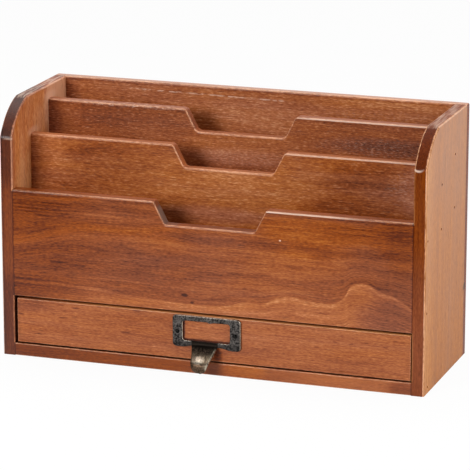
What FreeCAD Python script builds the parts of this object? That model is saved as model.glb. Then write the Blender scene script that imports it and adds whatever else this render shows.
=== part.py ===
import FreeCAD, Part
import math
import os

# Desk letter rack: three letter slots between stepped boards, over one drawer with a label-frame pull.
# Millimetres. +X is right, +Y goes to the back, +Z is up. The origin is the centre of the case's
# footprint, on the surface that it stands on.

# Case
case_width = 340.0
case_depth = 120.0
case_height = 200.0
side_thickness = 10.0
back_thickness = 8.0
base_thickness = 10.0
floor_thickness = 8.0
# How deep the slot floor is let into each side
floor_housing = 3.0
# Clear height of the drawer bay, from the base to the slot floor
bay_height = 38.4

# Rounded top front corner of the sides: an arc that meets the straight front edge in a crease, this
# far below the top, and the level top in a softer one, this far behind the front
corner_radius = 54.0
corner_drop = 26.5
corner_depth = 33.0
crease_round = 5.0

# Upright boards: the drop is how far each one's top lies below the top of the case
front_panel_thickness = 10.0
front_panel_drop = 67.0
middle_divider_thickness = 9.0
middle_divider_drop = 31.0
rear_divider_thickness = 9.0
rear_divider_drop = 11.0

# Thumb notch in the top of each upright board: its sides slope, and each board was cut by hand,
# so the three differ a little in place and in the rounding of their corners
notch_top_width = 90.0
notch_bottom_width = 72.0
notch_depth = 17.5
front_notch_centre = 0.5
front_notch_radius = 2.0
middle_notch_centre = 2.5
middle_notch_radius = 4.0
rear_notch_centre = -0.5
rear_notch_radius = 4.5

# Rounded edges of the case's boards, of those round the drawer's bay and of the drawer's boards
case_edge_round = 1.5
bay_edge_round = 0.9
drawer_edge_round = 0.8

# Wire brads
brad_shank_diameter = 1.3
brad_head_diameter = 1.9
brad_head_height = 0.8
brad_point_length = 2.0
# How far a head lies under the surface, and the room round a brad in its hole
brad_sink = 0.5
brad_clearance = 0.05
side_brad_length = 25.0
back_brad_length = 20.0
drawer_brad_length = 18.0
bottom_brad_length = 14.0

# Brads through the sides: each upper one lies this far below its board's top. The lower one lies a
# pitch below that, or in the front panel this far above its lower edge. The one into the base lies
# this far behind its front edge.
front_panel_brad_drop = 14.0
front_panel_brad_rise = 15.0
middle_divider_brad_drop = 15.5
middle_divider_brad_pitch = 34.5
rear_divider_brad_drop = 20.5
rear_divider_brad_pitch = 41.5
base_brad_inset = 10.0

# Brads through the back: three into each side, and pairs into the base and the slot floor
back_brad_end_inset = 20.0
back_brad_pair_spacing = 180.0

# Drawer
drawer_front_thickness = 10.0
drawer_side_thickness = 7.0
drawer_back_thickness = 7.0
drawer_bottom_thickness = 3.0
# Room round the drawer's front in its bay, under its sides, and behind it when it is shut
drawer_gap_side = 1.4
drawer_gap_top = 1.9
drawer_gap_bottom = 1.2
drawer_gap_under_sides = 0.2
drawer_gap_behind = 0.3
# The drawer lies a little to the right in its bay
drawer_shift = 0.9
# What is left of the front's thickness where it laps over the ends of the sides
drawer_lap_thickness = 4.0
# How far the tops of the sides and the back lie below the top of the front
drawer_wall_drop = 2.5
# Groove for the bottom: its height over the sides' lower edges, its depth and the room in it
drawer_groove_height = 4.0
drawer_groove_depth = 4.0
drawer_groove_end_gap = 0.5
drawer_groove_top_gap = 0.2
# Brads of the drawer's corners lie this far from the upper edges of the sides, a pitch apart
drawer_brad_drop = 6.5
drawer_brad_pitch = 14.0
bottom_brad_spacing = 100.0

# Label frame, on the drawer's front
label_width = 54.5
label_height = 24.4
label_thickness = 2.0
label_corner_radius = 3.0
label_side_border = 8.0
label_edge_border = 4.0
label_window_radius = 2.2
label_edge_round = 0.5
# Its place: how far its top lies below the drawer front's, and its centre from the case's
label_drop = 1.1
label_centre = -1.5
# Pocket behind the window, open at the top, that a paper card slides into
card_pocket_depth = 0.8
card_pocket_margin = 2.0

# Screws of the label frame
screw_spacing = 46.5
screw_shank_diameter = 1.8
screw_length = 8.0
screw_head_diameter = 3.6
screw_head_height = 1.0
screw_slot_width = 0.5
screw_slot_depth = 0.4
screw_clearance = 0.05

# Finger pull: a tongue that sweeps out from under the window and rolls over into a lip
pull_thickness = 1.6
pull_reach = 15.9
pull_roll_radius = 4.8
pull_roll_drop = 15.4
# Slope of the tongue where the sweep meets the roll, and how far the lip turns in past upright
pull_slope_degrees = 30.0
pull_lip_degrees = 12.0
pull_lip_length = 4.5
pull_root_width = 21.8
pull_tip_width = 11.0
pull_tip_radius = 5.0
pull_root_inset = 0.4

# Places that follow from the sizes above
half_width = case_width / 2
inner_x = half_width - side_thickness
front_y = -case_depth / 2
rear_y = case_depth / 2
back_face_y = rear_y - back_thickness
bay_top = base_thickness + bay_height
floor_top = bay_top + floor_thickness
upright_thickness = front_panel_thickness + middle_divider_thickness + rear_divider_thickness
slot_width = (back_face_y - front_y - upright_thickness) / 3
front_panel_rear_y = front_y + front_panel_thickness
middle_divider_y = front_panel_rear_y + slot_width
rear_divider_y = middle_divider_y + middle_divider_thickness + slot_width
front_panel_top = case_height - front_panel_drop
middle_divider_top = case_height - middle_divider_drop
rear_divider_top = case_height - rear_divider_drop

drawer_half_width = inner_x - drawer_gap_side
drawer_left_x = drawer_shift - drawer_half_width
drawer_right_x = drawer_shift + drawer_half_width
drawer_inner_left_x = drawer_left_x + drawer_side_thickness
drawer_inner_right_x = drawer_right_x - drawer_side_thickness
drawer_front_bottom = base_thickness + drawer_gap_bottom
drawer_front_top = bay_top - drawer_gap_top
drawer_front_rear_y = front_y + drawer_front_thickness
drawer_side_y = front_y + drawer_lap_thickness
drawer_rear_y = back_face_y - drawer_gap_behind
drawer_side_bottom = base_thickness + drawer_gap_under_sides
drawer_wall_top = drawer_front_top - drawer_wall_drop
drawer_back_y = drawer_rear_y - drawer_back_thickness
drawer_bottom_z = drawer_side_bottom + drawer_groove_height
drawer_bottom_top = drawer_bottom_z + drawer_bottom_thickness
drawer_groove_top = drawer_bottom_top + drawer_groove_top_gap

label_top = drawer_front_top - label_drop
label_bottom = label_top - label_height
label_left_x = label_centre - label_width / 2
label_right_x = label_centre + label_width / 2
label_face_y = front_y - label_thickness
window_left_x = label_left_x + label_side_border
window_right_x = label_right_x - label_side_border
window_bottom = label_bottom + label_edge_border
window_top = label_top - label_edge_border
screw_z = (label_bottom + label_top) / 2

# Slack for telling which edges lie on a plane, and how far cutting tools reach past a face
tolerance = 0.01
overshoot = 1.0


def vector(x, y, z):
    return FreeCAD.Vector(x, y, z)


def block(x_range, y_range, z_range):
    """Box between the two values given along each axis."""
    corner = vector(x_range[0], y_range[0], z_range[0])
    return Part.makeBox(
        x_range[1] - x_range[0],
        y_range[1] - y_range[0],
        z_range[1] - z_range[0],
        corner,
    )


def lies_on(edge, axis, value):
    """True where the whole edge lies on the plane axis = value."""
    low = getattr(edge.BoundBox, axis + "Min")
    high = getattr(edge.BoundBox, axis + "Max")
    return abs(low - value) < tolerance and abs(high - value) < tolerance


def rounded(shape, radius, chosen):
    """Fillet the edges for which chosen(edge) is true."""
    return shape.makeFillet(radius, [edge for edge in shape.Edges if chosen(edge)])


def upright_face(corners, y):
    """Upright face at y inside an outline of straight runs, given as (x, z, corner radius)."""
    points = [vector(x, y, z) for x, z, radius in corners]
    turns = []
    for index, (x, z, radius) in enumerate(corners):
        corner = points[index]
        back = (points[index - 1] - corner).normalize()
        ahead = (points[(index + 1) % len(points)] - corner).normalize()
        half_angle = back.getAngle(ahead) / 2
        reach = radius / math.tan(half_angle)
        bisector = (back + ahead).normalize()
        nearest = corner + bisector * (radius / math.sin(half_angle) - radius)
        turns.append((corner + back * reach, nearest, corner + ahead * reach))
    edges = []
    for index, (start, nearest, end) in enumerate(turns):
        if corners[index][2] > 0:
            edges.append(Part.Arc(start, nearest, end).toShape())
        next_start = turns[(index + 1) % len(turns)][0]
        edges.append(Part.LineSegment(end, next_start).toShape())
    return Part.Face(Part.Wire(edges))


def brad(surface, direction, length):
    """Wire brad driven in at a point of a surface, with its head sunk."""
    along = vector(*direction)
    head = surface + along * brad_sink
    point = head + along * (length - brad_point_length)
    cap = Part.makeCylinder(brad_head_diameter / 2, brad_head_height, head, along)
    shank = Part.makeCylinder(brad_shank_diameter / 2, length - brad_point_length, head, along)
    tip = Part.makeCone(brad_shank_diameter / 2, 0, brad_point_length, point, along)
    return cap.fuse([shank, tip]).removeSplitter()


def brad_hole(surface, direction, length):
    """What a brad driven in there takes out of the boards."""
    along = vector(*direction)
    mouth_radius = brad_head_diameter / 2 + brad_clearance
    mouth_depth = brad_sink + brad_head_height + brad_clearance
    shank_radius = brad_shank_diameter / 2 + brad_clearance
    mouth = Part.makeCylinder(mouth_radius, overshoot + mouth_depth, surface - along * overshoot, along)
    bore = Part.makeCylinder(shank_radius, brad_sink + length + brad_clearance, surface, along)
    return mouth.fuse(bore)


def drilled(shape, places):
    """The board with a hole for each brad."""
    return shape.cut([brad_hole(*place) for place in places])


def brads(places):
    """Brads that share a node, as separate solids."""
    return Part.makeCompound([brad(*place) for place in places])


def mirrored(place):
    """The same brad in the other side of the case."""
    surface, direction, length = place
    return vector(-surface.x, surface.y, surface.z), (-direction[0], direction[1], direction[2]), length


def right_side_brad(y, z):
    return vector(half_width, y, z), (-1, 0, 0), side_brad_length


def back_brad(x, z):
    return vector(x, rear_y, z), (0, -1, 0), back_brad_length


front_panel_brad_y = front_y + front_panel_thickness / 2
middle_divider_brad_y = middle_divider_y + middle_divider_thickness / 2
rear_divider_brad_y = rear_divider_y + rear_divider_thickness / 2

front_panel_brads = [
    right_side_brad(front_panel_brad_y, z)
    for z in (front_panel_top - front_panel_brad_drop, bay_top + front_panel_brad_rise)
]
middle_divider_brads = [
    right_side_brad(middle_divider_brad_y, middle_divider_top - middle_divider_brad_drop - pitch)
    for pitch in (0, middle_divider_brad_pitch)
]
rear_divider_brads = [
    right_side_brad(rear_divider_brad_y, rear_divider_top - rear_divider_brad_drop - pitch)
    for pitch in (0, rear_divider_brad_pitch)
]
base_brads = [right_side_brad(front_y + base_brad_inset, base_thickness / 2)]
right_side_brads = front_panel_brads + middle_divider_brads + rear_divider_brads + base_brads
left_side_brads = [mirrored(place) for place in right_side_brads]

back_side_x = half_width - side_thickness / 2
back_brads_right = [
    back_brad(back_side_x, z)
    for z in (back_brad_end_inset, case_height / 2, case_height - back_brad_end_inset)
]
back_brads_left = [mirrored(place) for place in back_brads_right]
back_brads_base = [back_brad(sign * back_brad_pair_spacing / 2, base_thickness / 2) for sign in (-1, 1)]
back_brads_floor = [
    back_brad(sign * back_brad_pair_spacing / 2, bay_top + floor_thickness / 2) for sign in (-1, 1)
]
all_back_brads = back_brads_right + back_brads_left + back_brads_base + back_brads_floor


def right_side_panel():
    """Side board: straight front edge, crease, arc to the level top, groove for the slot floor."""
    crease = vector(inner_x, front_y, case_height - corner_drop)
    arc_end = vector(inner_x, front_y + corner_depth, case_height)
    chord = arc_end - crease
    inward = vector(0, chord.z, -chord.y).normalize()
    centre_depth = math.sqrt(corner_radius**2 - (chord.Length / 2) ** 2)
    arc_middle = (crease + arc_end) * 0.5 - inward * (corner_radius - centre_depth)
    front_foot = vector(inner_x, front_y, 0)
    rear_top = vector(inner_x, back_face_y, case_height)
    rear_foot = vector(inner_x, back_face_y, 0)
    outline = Part.Wire(
        [
            Part.LineSegment(front_foot, crease).toShape(),
            Part.Arc(crease, arc_middle, arc_end).toShape(),
            Part.LineSegment(arc_end, rear_top).toShape(),
            Part.LineSegment(rear_top, rear_foot).toShape(),
            Part.LineSegment(rear_foot, front_foot).toShape(),
        ]
    )
    board = Part.Face(outline).extrude(vector(side_thickness, 0, 0))

    def is_crease(edge):
        return any(
            lies_on(edge, "Y", corner.y) and lies_on(edge, "Z", corner.z) for corner in (crease, arc_end)
        )

    board = rounded(board, crease_round, is_crease)

    def shows(edge):
        on_a_face = lies_on(edge, "X", inner_x) or lies_on(edge, "X", half_width)
        return on_a_face and not lies_on(edge, "Z", 0) and not lies_on(edge, "Y", back_face_y)

    board = rounded(board, case_edge_round, shows)
    # The inner front edge stays square where the base and the front panel end against it, flush
    square_edges = [
        block((inner_x, inner_x + case_edge_round), (front_y, front_y + case_edge_round), z_range)
        for z_range in ((0, base_thickness), (bay_top, front_panel_top - case_edge_round))
    ]
    board = board.fuse(square_edges).removeSplitter()
    groove = block(
        (inner_x - overshoot, inner_x + floor_housing),
        (front_panel_rear_y, back_face_y + overshoot),
        (bay_top, floor_top),
    )
    return drilled(board.cut(groove), right_side_brads + back_brads_right)


def left_side_panel():
    return right_side_panel().mirror(vector(0, 0, 0), vector(1, 0, 0))


def back_panel():
    """Board over the rear edges of the sides, rounded along its top and its rear edges."""
    board = block((-half_width, half_width), (back_face_y, rear_y), (0, case_height))

    def shows(edge):
        on_top = lies_on(edge, "Z", case_height)
        on_rear = lies_on(edge, "Y", rear_y) and not lies_on(edge, "Z", 0)
        return on_top or on_rear

    return drilled(rounded(board, case_edge_round, shows), all_back_brads)


def base_panel():
    board = block((-inner_x, inner_x), (front_y, back_face_y), (0, base_thickness))

    def shows(edge):
        return lies_on(edge, "Y", front_y) and not is_end(edge)

    board = rounded(board, bay_edge_round, shows)
    return drilled(board, base_brads + [mirrored(place) for place in base_brads] + back_brads_base)


def slot_floor():
    reach = inner_x + floor_housing
    board = block((-reach, reach), (front_panel_rear_y, back_face_y), (bay_top, floor_top))
    return drilled(board, back_brads_floor)


def is_end(edge):
    """True for the edges of a board that butts against both sides."""
    return lies_on(edge, "X", inner_x) or lies_on(edge, "X", -inner_x)


def notched_board(y, thickness, bottom, top, notch_centre, notch_radius):
    """Board between the sides with a thumb notch, rounded along its top edges."""
    notch_bottom = top - notch_depth
    outline = [
        (-inner_x, bottom, 0),
        (inner_x, bottom, 0),
        (inner_x, top, 0),
        (notch_centre + notch_top_width / 2, top, notch_radius),
        (notch_centre + notch_bottom_width / 2, notch_bottom, notch_radius),
        (notch_centre - notch_bottom_width / 2, notch_bottom, notch_radius),
        (notch_centre - notch_top_width / 2, top, notch_radius),
        (-inner_x, top, 0),
    ]
    board = upright_face(outline, y).extrude(vector(0, thickness, 0))

    def shows(edge):
        on_a_face = lies_on(edge, "Y", y) or lies_on(edge, "Y", y + thickness)
        return on_a_face and not is_end(edge) and not lies_on(edge, "Z", bottom)

    return rounded(board, case_edge_round, shows)


def front_panel():
    board = notched_board(
        front_y,
        front_panel_thickness,
        bay_top,
        front_panel_top,
        front_notch_centre,
        front_notch_radius,
    )
    board = rounded(
        board,
        bay_edge_round,
        lambda edge: lies_on(edge, "Y", front_y) and lies_on(edge, "Z", bay_top),
    )
    return drilled(board, front_panel_brads + [mirrored(place) for place in front_panel_brads])


def middle_divider():
    board = notched_board(
        middle_divider_y,
        middle_divider_thickness,
        floor_top,
        middle_divider_top,
        middle_notch_centre,
        middle_notch_radius,
    )
    return drilled(board, middle_divider_brads + [mirrored(place) for place in middle_divider_brads])


def rear_divider():
    board = notched_board(
        rear_divider_y,
        rear_divider_thickness,
        floor_top,
        rear_divider_top,
        rear_notch_centre,
        rear_notch_radius,
    )
    return drilled(board, rear_divider_brads + [mirrored(place) for place in rear_divider_brads])


def drawer_brads_at(y, x, direction):
    """The pair of brads through one end of a drawer side."""
    first_z = drawer_wall_top - drawer_brad_drop
    return [
        (vector(x, y, first_z - pitch), direction, drawer_brad_length)
        for pitch in (0, drawer_brad_pitch)
    ]


drawer_front_brad_y = (drawer_side_y + drawer_front_rear_y) / 2
drawer_back_brad_y = drawer_back_y + drawer_back_thickness / 2
left_front_brads = drawer_brads_at(drawer_front_brad_y, drawer_left_x, (1, 0, 0))
right_front_brads = drawer_brads_at(drawer_front_brad_y, drawer_right_x, (-1, 0, 0))
left_back_brads = drawer_brads_at(drawer_back_brad_y, drawer_left_x, (1, 0, 0))
right_back_brads = drawer_brads_at(drawer_back_brad_y, drawer_right_x, (-1, 0, 0))


def drawer_bottom_brad(step):
    """Brad up through the bottom, so many spacings from the drawer's centre."""
    x = drawer_shift + step * bottom_brad_spacing
    return vector(x, drawer_back_brad_y, drawer_bottom_z), (0, 0, 1), bottom_brad_length


drawer_bottom_brads = [drawer_bottom_brad(step) for step in (-1, 0, 1)]
screw_centres = [label_centre - screw_spacing / 2, label_centre + screw_spacing / 2]


def drawer_groove(x_range, y_range):
    return block(x_range, y_range, (drawer_bottom_z, drawer_groove_top))


def drawer_front():
    """Front board, cut away behind its ends for the sides, and grooved for the bottom."""
    board = block(
        (drawer_left_x, drawer_right_x),
        (front_y, drawer_front_rear_y),
        (drawer_front_bottom, drawer_front_top),
    )
    board = rounded(board, drawer_edge_round, lambda edge: lies_on(edge, "Y", front_y))
    lap_y = (drawer_side_y, drawer_front_rear_y + overshoot)
    lap_z = (drawer_front_bottom - overshoot, drawer_front_top + overshoot)
    left_lap = block((drawer_left_x - overshoot, drawer_inner_left_x), lap_y, lap_z)
    right_lap = block((drawer_inner_right_x, drawer_right_x + overshoot), lap_y, lap_z)
    groove = drawer_groove(
        (drawer_inner_left_x - overshoot, drawer_inner_right_x + overshoot),
        (drawer_front_rear_y - drawer_groove_depth, drawer_front_rear_y + overshoot),
    )
    screw_holes = [
        Part.makeCylinder(
            screw_shank_diameter / 2 + screw_clearance,
            screw_length,
            vector(x, label_face_y, screw_z),
            vector(0, 1, 0),
        )
        for x in screw_centres
    ]
    board = board.cut([left_lap, right_lap, groove] + screw_holes)
    return drilled(board, left_front_brads + right_front_brads)


def drawer_side(outer_x, inner_side_x, places):
    """Side board: its front end lies in the front's lap, and a groove along it holds the bottom."""
    board = block(
        (min(outer_x, inner_side_x), max(outer_x, inner_side_x)),
        (drawer_side_y, drawer_rear_y),
        (drawer_side_bottom, drawer_wall_top),
    )

    def shows(edge):
        on_a_face = lies_on(edge, "X", outer_x) or lies_on(edge, "X", inner_side_x)
        return on_a_face and lies_on(edge, "Z", drawer_wall_top)

    board = rounded(board, drawer_edge_round, shows)
    outward = math.copysign(1, outer_x - inner_side_x)
    groove_x = sorted((inner_side_x - outward * overshoot, inner_side_x + outward * drawer_groove_depth))
    groove = drawer_groove(groove_x, (drawer_side_y - overshoot, drawer_rear_y + overshoot))
    return drilled(board.cut(groove), places)


def drawer_left_side():
    return drawer_side(drawer_left_x, drawer_inner_left_x, left_front_brads + left_back_brads)


def drawer_right_side():
    return drawer_side(drawer_right_x, drawer_inner_right_x, right_front_brads + right_back_brads)


def drawer_back():
    """Back board between the sides, standing on the bottom."""
    board = block(
        (drawer_inner_left_x, drawer_inner_right_x),
        (drawer_back_y, drawer_rear_y),
        (drawer_bottom_top, drawer_wall_top),
    )

    def shows(edge):
        on_a_face = lies_on(edge, "Y", drawer_back_y) or lies_on(edge, "Y", drawer_rear_y)
        return on_a_face and lies_on(edge, "Z", drawer_wall_top)

    board = rounded(board, drawer_edge_round, shows)
    return drilled(board, left_back_brads + right_back_brads + drawer_bottom_brads)


def drawer_bottom():
    reach = drawer_groove_depth - drawer_groove_end_gap
    board = block(
        (drawer_inner_left_x - reach, drawer_inner_right_x + reach),
        (drawer_front_rear_y - reach, drawer_rear_y),
        (drawer_bottom_z, drawer_bottom_top),
    )
    return drilled(board, drawer_bottom_brads)


def pull_tongue():
    """Sheet that sweeps down and out from the frame, rolls over and ends in a lip with a round tip.

    Its section is worked out as (reach from the drawer's front, height): the sweep's circle touches
    the roll's circle, and passes through the root on the frame's face.
    """
    slope = math.radians(pull_slope_degrees)
    turn_in = math.radians(pull_lip_degrees)
    up = vector(math.sin(slope), math.cos(slope), 0)
    out = vector(math.cos(turn_in), -math.sin(turn_in), 0)
    down = vector(-math.sin(turn_in), -math.cos(turn_in), 0)
    root = vector(label_thickness, window_bottom - pull_root_inset, 0)
    roll_centre = vector(pull_reach - pull_roll_radius, window_bottom - pull_roll_drop, 0)
    root_arm = root - roll_centre
    root_rise = root_arm.dot(up) - pull_roll_radius
    sweep_radius = (root_arm - up * pull_roll_radius).Length ** 2 / (2 * root_rise)
    sweep_centre = roll_centre + up * (sweep_radius + pull_roll_radius)
    embedded_reach = label_thickness - (label_thickness - card_pocket_depth) / 2

    def place(point):
        return vector(label_centre - pull_root_width / 2, front_y - point.x, point.y)

    def skin(depth):
        """Joints of the section at a depth under its outer skin, from the root to the lip's end."""
        radius = sweep_radius + depth
        rise = math.sqrt(radius**2 - (sweep_centre.x - label_thickness) ** 2)
        start = vector(label_thickness, sweep_centre.y - rise, 0)
        meeting = roll_centre + up * (pull_roll_radius - depth)
        sweep_middle = sweep_centre + ((start + meeting) * 0.5 - sweep_centre).normalize() * radius
        roll_end = roll_centre + out * (pull_roll_radius - depth)
        roll_middle = roll_centre + (up + out).normalize() * (pull_roll_radius - depth)
        lip_end = roll_end + down * pull_lip_length
        return [place(point) for point in (start, sweep_middle, meeting, roll_middle, roll_end, lip_end)]

    def runs(joints):
        start, sweep_middle, meeting, roll_middle, roll_end, lip_end = joints
        return [
            Part.Arc(start, sweep_middle, meeting).toShape(),
            Part.Arc(meeting, roll_middle, roll_end).toShape(),
            Part.LineSegment(roll_end, lip_end).toShape(),
        ]

    outer = skin(0)
    inner = skin(pull_thickness)
    outer_root = vector(outer[0].x, front_y - embedded_reach, outer[0].z)
    inner_root = vector(inner[0].x, front_y - embedded_reach, inner[0].z)
    ends = [
        Part.LineSegment(outer[-1], inner[-1]).toShape(),
        Part.LineSegment(inner[0], inner_root).toShape(),
        Part.LineSegment(inner_root, outer_root).toShape(),
        Part.LineSegment(outer_root, outer[0]).toShape(),
    ]
    section = Part.Wire(Part.__sortEdges__(runs(outer) + runs(inner) + ends))
    sheet = Part.Face(section).extrude(vector(pull_root_width, 0, 0))
    tip_z = min(outer[-1].z, inner[-1].z)
    outline = [
        (label_centre - pull_tip_width / 2, tip_z, pull_tip_radius),
        (label_centre + pull_tip_width / 2, tip_z, pull_tip_radius),
        (label_centre + pull_root_width / 2, window_bottom, 0),
        (label_centre - pull_root_width / 2, window_bottom, 0),
    ]
    front_view = upright_face(outline, front_y - pull_reach - overshoot)
    return sheet.common(front_view.extrude(vector(0, pull_reach + overshoot, 0)))


def label_frame():
    """Frame with rounded corners, a window, a card pocket behind it, screw holes and the pull."""
    outer = [
        (label_left_x, label_bottom, label_corner_radius),
        (label_right_x, label_bottom, label_corner_radius),
        (label_right_x, label_top, label_corner_radius),
        (label_left_x, label_top, label_corner_radius),
    ]
    window = [
        (window_left_x, window_bottom, label_window_radius),
        (window_right_x, window_bottom, label_window_radius),
        (window_right_x, window_top, label_window_radius),
        (window_left_x, window_top, label_window_radius),
    ]
    plate = upright_face(outer, label_face_y).extrude(vector(0, label_thickness, 0))
    opening = upright_face(window, label_face_y - overshoot)
    plate = plate.cut(opening.extrude(vector(0, label_thickness + 2 * overshoot, 0)))
    plate = rounded(plate, label_edge_round, lambda edge: lies_on(edge, "Y", label_face_y))
    pocket = block(
        (window_left_x - card_pocket_margin, window_right_x + card_pocket_margin),
        (front_y - card_pocket_depth, front_y + overshoot),
        (window_bottom - card_pocket_margin, label_top + overshoot),
    )
    screw_holes = [
        Part.makeCylinder(
            screw_shank_diameter / 2 + screw_clearance,
            label_thickness + 2 * overshoot,
            vector(x, label_face_y - overshoot, screw_z),
            vector(0, 1, 0),
        )
        for x in screw_centres
    ]
    plate = plate.cut([pocket] + screw_holes)
    return plate.fuse(pull_tongue()).removeSplitter()


def label_frame_screws():
    """Two slotted round-head screws."""
    head_radius = screw_head_diameter / 2
    dome_radius = (head_radius**2 + screw_head_height**2) / (2 * screw_head_height)
    start_latitude = math.degrees(math.asin((dome_radius - screw_head_height) / dome_radius))
    screws = []
    for x in screw_centres:
        seat = vector(x, label_face_y, screw_z)
        dome_centre = seat + vector(0, dome_radius - screw_head_height, 0)
        head = Part.makeSphere(dome_radius, dome_centre, vector(0, -1, 0), start_latitude, 90, 360)
        crown_y = label_face_y - screw_head_height
        slot = block(
            (x - screw_head_diameter, x + screw_head_diameter),
            (crown_y - overshoot, crown_y + screw_slot_depth),
            (screw_z - screw_slot_width / 2, screw_z + screw_slot_width / 2),
        )
        shank = Part.makeCylinder(
            screw_shank_diameter / 2,
            screw_length - screw_clearance,
            seat,
            vector(0, 1, 0),
        )
        screws.append(head.cut(slot).fuse(shank).removeSplitter())
    return Part.makeCompound(screws)


pieces = {
    "left_side_panel": left_side_panel(),
    "right_side_panel": right_side_panel(),
    "back_panel": back_panel(),
    "base_panel": base_panel(),
    "slot_floor": slot_floor(),
    "front_panel": front_panel(),
    "middle_divider": middle_divider(),
    "rear_divider": rear_divider(),
    "left_side_brads": brads(left_side_brads),
    "right_side_brads": brads(right_side_brads),
    "back_brads": brads(all_back_brads),
    "drawer_front": drawer_front(),
    "drawer_left_side": drawer_left_side(),
    "drawer_right_side": drawer_right_side(),
    "drawer_back": drawer_back(),
    "drawer_bottom": drawer_bottom(),
    "drawer_front_brads": brads(left_front_brads + right_front_brads),
    "drawer_back_brads": brads(left_back_brads + right_back_brads),
    "drawer_bottom_brads": brads(drawer_bottom_brads),
    "label_frame": label_frame(),
    "label_frame_screws": label_frame_screws(),
}

os.makedirs("parts", exist_ok=True)
for name, shape in pieces.items():
    shape.exportStep("parts/" + name + ".step")
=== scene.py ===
# %% [markdown]
# # A desk letter rack, dressed for its portrait
#
# The rack is a small piece of stained joinery: two sides, a back, a base, three stepped boards with
# thumb notches, and one drawer with a metal label frame. Its boards are already built at their real
# size. This lesson gives them their wood, models the metalwork by hand, and lights the whole thing.
#
# All lengths are in metres, in the rack's own frame: +X is right, +Y is to the back, +Z is up. Finishes
# think in millimetres, because grain, pores and scratches are that small.

import math
from collections import namedtuple

import bmesh
import bpy
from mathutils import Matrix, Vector


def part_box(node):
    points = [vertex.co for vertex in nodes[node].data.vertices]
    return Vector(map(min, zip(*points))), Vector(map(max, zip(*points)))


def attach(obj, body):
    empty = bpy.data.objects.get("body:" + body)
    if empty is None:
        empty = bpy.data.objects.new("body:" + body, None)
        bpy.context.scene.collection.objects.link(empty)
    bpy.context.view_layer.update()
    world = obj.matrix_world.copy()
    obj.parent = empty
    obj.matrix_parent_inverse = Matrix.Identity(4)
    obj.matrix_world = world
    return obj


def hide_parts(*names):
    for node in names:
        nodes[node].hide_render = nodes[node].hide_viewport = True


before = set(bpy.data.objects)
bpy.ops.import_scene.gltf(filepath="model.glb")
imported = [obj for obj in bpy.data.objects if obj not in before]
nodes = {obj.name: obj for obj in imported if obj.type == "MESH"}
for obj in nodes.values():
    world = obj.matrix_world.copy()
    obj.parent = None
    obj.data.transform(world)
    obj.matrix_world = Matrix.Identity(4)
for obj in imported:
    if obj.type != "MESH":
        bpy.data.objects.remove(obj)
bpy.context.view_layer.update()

# %% [markdown]
# ## The camera
#
# A product portrait is taken from far away with a long lens, so that upright edges stay upright.
# The viewpoint was found from the rack's corners: 19 degrees round to the right and 15 degrees up.
# The lens shift places the rack in the square frame without turning the camera.

# %% Set up the camera
MM = 0.001
view_azimuth = math.radians(18.962)
view_elevation = math.radians(14.695)
view_distance = 2.3953
view_target = Vector((0.0, 0.010, 0.100))


def direction(azimuth, elevation):
    """Unit vector towards a place round the rack: azimuth 0 is in front, and rises to the right."""
    level = math.cos(elevation)
    return Vector((math.sin(azimuth) * level, -math.cos(azimuth) * level, math.sin(elevation)))


def look_along(thing, towards):
    """Turn a camera or lamp so that it looks along a vector."""
    thing.rotation_euler = towards.to_track_quat("-Z", "Y").to_euler()


lens = bpy.data.cameras.new("portrait_lens")
lens.lens = 236.4
lens.sensor_width = 36.0
lens.shift_x = -0.00785
lens.shift_y = -0.01858
camera = bpy.data.objects.new("portrait_camera", lens)
bpy.context.scene.collection.objects.link(camera)
view_direction = direction(view_azimuth, view_elevation)
camera.location = view_target + view_direction * view_distance
look_along(camera, -view_direction)
bpy.context.scene.camera = camera
print("camera stands at", tuple(round(value, 3) for value in camera.location))

# %% [markdown]
# ## Shader maths as Python
#
# A wood finish is mostly arithmetic on coordinates: stretch them along the grain, bend them, cut them
# into bands. Wiring that by hand takes hundreds of lines, so one small class wraps a socket and lets
# `a + b` or `1 - mask` add the Math node. Every other node comes from its `node` method.

# %% A socket that can do sums
class Wire:
    """A socket in a node tree, or no socket yet, where a tree's first nodes are made."""

    def __init__(self, tree, socket=None):
        self.tree = tree
        self.socket = socket

    def feed(self, target, sockets):
        """Give a node's sockets their values or links."""
        for name, value in sockets.items():
            if isinstance(value, Wire):
                self.tree.links.new(value.socket, target.inputs[name])
            else:
                target.inputs[name].default_value = value

    def node(self, kind, settings=None, sockets=None, output=0):
        """Add a node: its settings first, then the value or link of each socket."""
        made = self.tree.nodes.new("ShaderNode" + kind)
        for name, value in (settings or {}).items():
            if name == "stops":
                set_stops(made.color_ramp, value)
            elif name == "curve":
                set_curve(made.mapping, value)
            else:
                setattr(made, name, value)
        self.feed(made, sockets or {})
        return Wire(self.tree, made.outputs[output])

    def axes(self):
        """The X, Y and Z of a vector, by name."""
        split = self.node("SeparateXYZ", {}, {0: self}).socket.node
        return {output.name: Wire(self.tree, output) for output in split.outputs}

    def math(self, operation, *values):
        return self.node("Math", {"operation": operation}, dict(enumerate(values)))

    def __add__(self, other):
        return self.math("ADD", self, other)

    __radd__ = __add__

    def __sub__(self, other):
        return self.math("SUBTRACT", self, other)

    def __rsub__(self, other):
        return self.math("SUBTRACT", other, self)

    def __mul__(self, other):
        return self.math("MULTIPLY", self, other)

    __rmul__ = __mul__

    def __truediv__(self, other):
        return self.math("DIVIDE", self, other)

    def __abs__(self):
        return self.math("ABSOLUTE", self)

    def most(self, other):
        """The greater of two values."""
        return self.math("MAXIMUM", self, other)

    def sine(self):
        return self.math("SINE", self)

    def step(self, low, high):
        """A soft step from 0 at low to 1 at high, or down again where high is the lesser."""
        ends = {"Value": self, "From Min": low, "From Max": high}
        return self.node("MapRange", {"interpolation_type": "SMOOTHSTEP"}, ends)

    def tint(self, first, second):
        """Colour mixed from the first, where this value is 0, to the second, where it is 1."""
        return self.node("Mix", {"data_type": "RGBA"}, {0: self, 6: first, 7: second}, output=2)


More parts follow.
